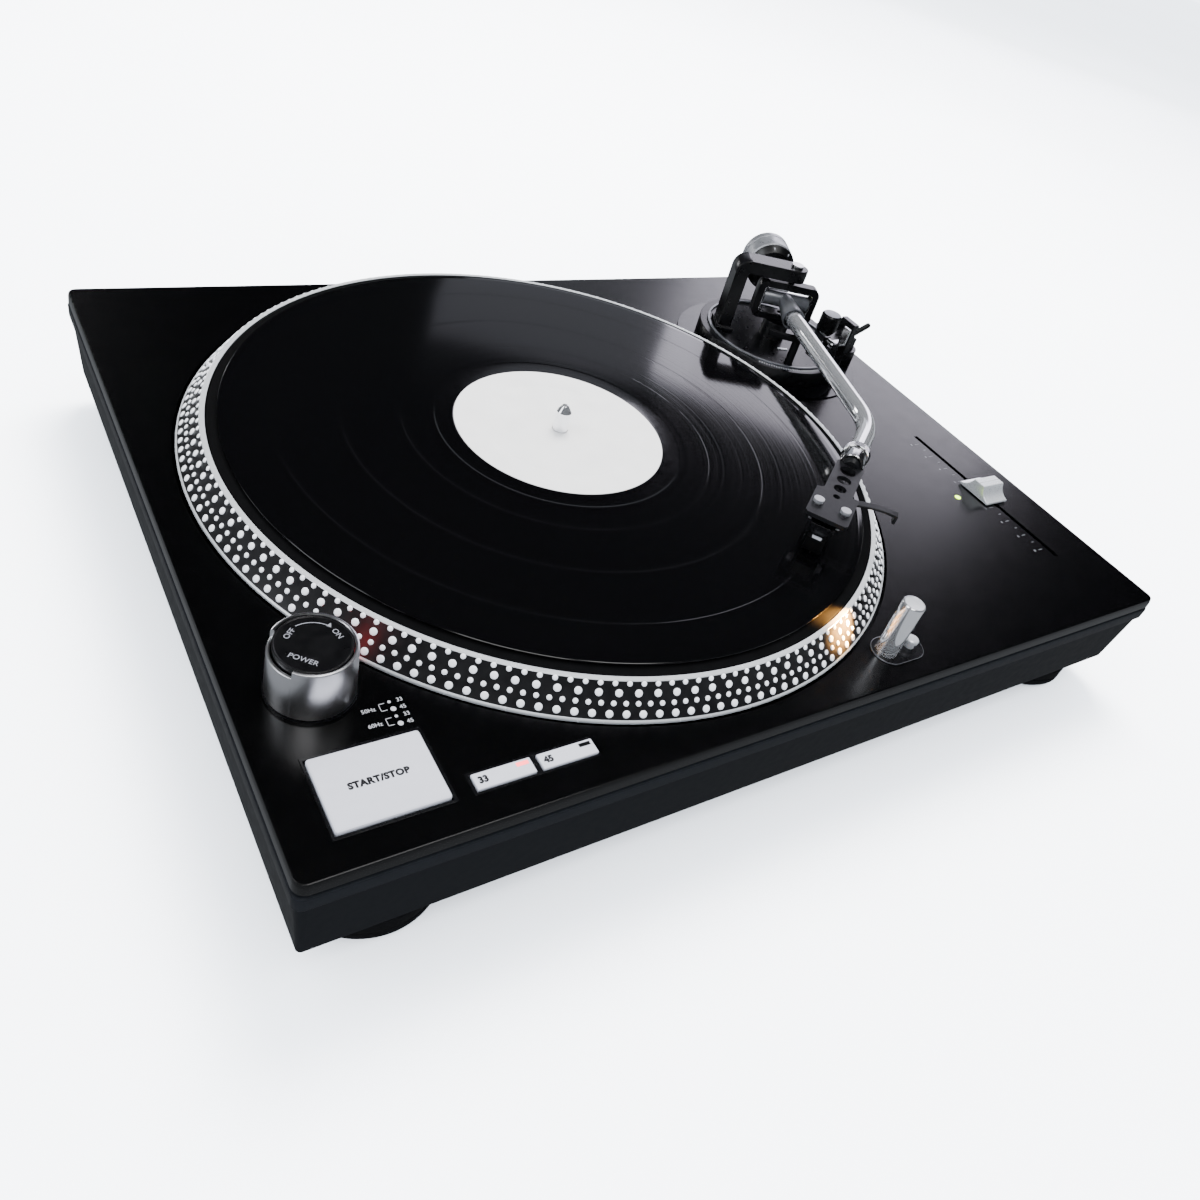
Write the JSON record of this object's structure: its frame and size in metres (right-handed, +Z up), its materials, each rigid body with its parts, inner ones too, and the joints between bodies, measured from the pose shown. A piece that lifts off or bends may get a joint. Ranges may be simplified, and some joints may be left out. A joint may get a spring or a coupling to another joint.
{
  "type": "belt-drive record player",
  "caption": "Black plinth with a belt-driven platter carrying a record, an S-shaped tonearm with counterweight, power knob, start and speed buttons, pitch slider and target lamp.",
  "frame": {"origin": "centre of the footprint, on the surface that the feet stand on", "axes": "+X to the right along the long side, +Y to the back, +Z up"},
  "size_m": [0.446, 0.3506, 0.1156],
  "materials": {
    "deck_black": "satin black paint",
    "chassis_black": "satin dark grey-black",
    "foot_rubber": "matt",
    "steel": "plain zinc-plated",
    "platter_alloy": "turned and dotted edge",
    "mat_felt": "black felt",
    "vinyl": "grooved gloss black",
    "label_paper": "plain paper",
    "bearing_brass": "turned",
    "belt_rubber": "matt",
    "board_green": "coated laminate",
    "transformer_iron": "varnished laminations",
    "control_black": "satin moulded",
    "satin_alloy": "satin",
    "lamp_red": "translucent, lit red",
    "led_green": "lit green",
    "lamp_chrome": "polished",
    "arm_black": "satin black",
    "pivot_grey": "bead blasted",
    "arm_chrome": "polished",
    "lift_black": "gloss black",
    "cartridge_black": "moulded",
    "weight_grey": "satin dark grey",
    "socket_gold": "gold plated"
  },
  "bodies": {
    "plinth": {"top_panel": "deck_black", "upper_chassis": "chassis_black", "lower_base": "chassis_black", "feet": "foot_rubber", "base_screws": "steel", "spindle_bearing": "bearing_brass", "drive_belt": "belt_rubber", "motor": "steel", "motor_mount": "steel", "circuit_board": "board_green", "transformer": "transformer_iron", "power_core": "control_black", "power_cap": "control_black", "strobe_lamp": "lamp_red", "start_stop_frame": "control_black", "speed_frame": "control_black", "pitch_fader": "control_black", "pitch_led": "led_green", "lamp_frame": "control_black", "arm_plate": "deck_black", "arm_base": "arm_black", "scale_ring": "satin_alloy", "arm_yoke": "arm_black", "pivot_screws": "steel", "arm_rest": "control_black", "phono_sockets": "socket_gold", "mains_inlet": "control_black"},
    "platter": {"platter": "platter_alloy", "slipmat": "mat_felt", "record": "vinyl", "record_label": "label_paper", "spindle": "steel"},
    "pulley": {"motor_pulley": "bearing_brass"},
    "power_sleeve": {"power_sleeve": "satin_alloy"},
    "start_button": {"start_stop_button": "satin_alloy"},
    "button_33": {"button_33": "satin_alloy"},
    "button_45": {"button_45": "satin_alloy"},
    "pitch_slider": {"pitch_knob": "satin_alloy", "pitch_carriage": "control_black"},
    "target_lamp": {"target_lamp": "lamp_chrome"},
    "lamp_button": {"lamp_button": "satin_alloy"},
    "gimbal": {"gimbal_ring": "arm_black"},
    "tonearm": {"cross_shaft": "pivot_grey", "arm_sleeve": "pivot_grey", "arm_tube": "arm_chrome", "arm_stub": "pivot_grey", "headshell": "arm_black", "finger_lift": "lift_black", "cartridge": "cartridge_black", "stylus": "cartridge_black", "cartridge_screws": "steel"},
    "collar": {"headshell_collar": "satin_alloy"},
    "weight_bush": {"weight_bush": "arm_black"},
    "counterweight": {"counterweight": "weight_grey"},
    "weight_dial": {"weight_dial": "arm_black"},
    "rest_clip": {"rest_clip": "lamp_chrome"},
    "cue_bar": {"cue_bar": "control_black"},
    "cue_lever": {"cue_lever": "control_black"},
    "anti_skate": {"anti_skate_knob": "control_black"}
  },
  "joints": [
    {"name": "platter_spin", "type": "hinge", "parent": "plinth", "child": "platter", "pos_m": [-0.0418, 0.0036, 0.06], "axis": [0, 0, 1], "continuous": true},
    {"name": "motor_spin", "type": "hinge", "parent": "plinth", "child": "pulley", "pos_m": [-0.13655, 0.09835, 0.06], "axis": [0, 0, 1], "continuous": true},
    {"name": "power_turn", "type": "hinge", "parent": "plinth", "child": "power_sleeve", "pos_m": [-0.1953, -0.1046, 0.07], "axis": [0, 0, 1], "range_deg": [-60, 0]},
    {"name": "start_stop_press", "type": "slide", "parent": "plinth", "child": "start_button", "axis": [0, 0, -1], "range_m": [0, 0.0015], "stiffness_N_per_m": 300, "springref_m": -0.001},
    {"name": "speed_33_press", "type": "slide", "parent": "plinth", "child": "button_33", "axis": [0, 0, -1], "range_m": [0, 0.001], "stiffness_N_per_m": 200, "springref_m": -0.001},
    {"name": "speed_45_press", "type": "slide", "parent": "plinth", "child": "button_45", "axis": [0, 0, -1], "range_m": [0, 0.001], "stiffness_N_per_m": 200, "springref_m": -0.001},
    {"name": "pitch_slide", "type": "slide", "parent": "plinth", "child": "pitch_slider", "axis": [0, 1, 0], "range_m": [-0.05, 0.05]},
    {"name": "target_lamp_rise", "type": "slide", "parent": "plinth", "child": "target_lamp", "axis": [0, 0, 1], "range_m": [-0.026, 0], "stiffness_N_per_m": 60, "springref_m": 0.01},
    {"name": "lamp_button_press", "type": "slide", "parent": "plinth", "child": "lamp_button", "axis": [0, 0, -1], "range_m": [0, 0.0015], "stiffness_N_per_m": 200, "springref_m": -0.001},
    {"name": "arm_swing", "type": "hinge", "parent": "plinth", "child": "gimbal", "pos_m": [0.1546, 0.0809, 0.093], "axis": [0, 0, 1], "range_deg": [-21.5, 13.5]},
    {"name": "arm_tilt", "type": "hinge", "parent": "gimbal", "child": "tonearm", "pos_m": [0.1546, 0.0809, 0.093], "axis": [-0.891, 0.454, 0], "range_deg": [-0.1, 8]},
    {"name": "collar_turn", "type": "hinge", "parent": "tonearm", "child": "collar", "pos_m": [0.0708, -0.07445, 0.093], "axis": [-0.8131, -0.5821, 0], "range_deg": [0, 90]},
    {"name": "weight_travel", "type": "slide", "parent": "tonearm", "child": "weight_bush", "axis": [0.454, 0.891, 0], "range_m": [-0.0015, 0.0015]},
    {"name": "weight_turn", "type": "hinge", "parent": "weight_bush", "child": "counterweight", "pos_m": [0.18002, 0.1308, 0.093], "axis": [0.454, 0.891, 0], "range_deg": [-361, 361]},
    {"name": "dial_turn", "type": "hinge", "parent": "counterweight", "child": "weight_dial", "pos_m": [0.17458, 0.1201, 0.093], "axis": [0.454, 0.891, 0], "range_deg": [-180, 180]},
    {"name": "clip_swing", "type": "hinge", "parent": "plinth", "child": "rest_clip", "pos_m": [0.1551, 0.03495, 0.09], "axis": [0, 1, 0], "range_deg": [-90, 0]},
    {"name": "cue_lever_turn", "type": "hinge", "parent": "plinth", "child": "cue_lever", "pos_m": [0.2021, 0.0639, 0.0742], "axis": [0, 1, 0], "range_deg": [0, 38.2]},
    {"name": "cue_lift", "type": "slide", "parent": "plinth", "child": "cue_bar", "axis": [0, 0, 1], "range_m": [-0.0041, 0]},
    {"name": "anti_skate_turn", "type": "hinge", "parent": "plinth", "child": "anti_skate", "pos_m": [0.2016, 0.0809, 0.076], "axis": [0, 0, 1], "range_deg": [0, 270]}
  ],
  "couplings": [
    {"joint": "motor_spin", "follows": "platter_spin", "ratio": 15},
    {"joint": "weight_turn", "follows": "weight_travel", "rad_per_m": 4188.8},
    {"joint": "cue_lever_turn", "follows": "cue_lift", "rad_per_m": -162.6}
  ]
}
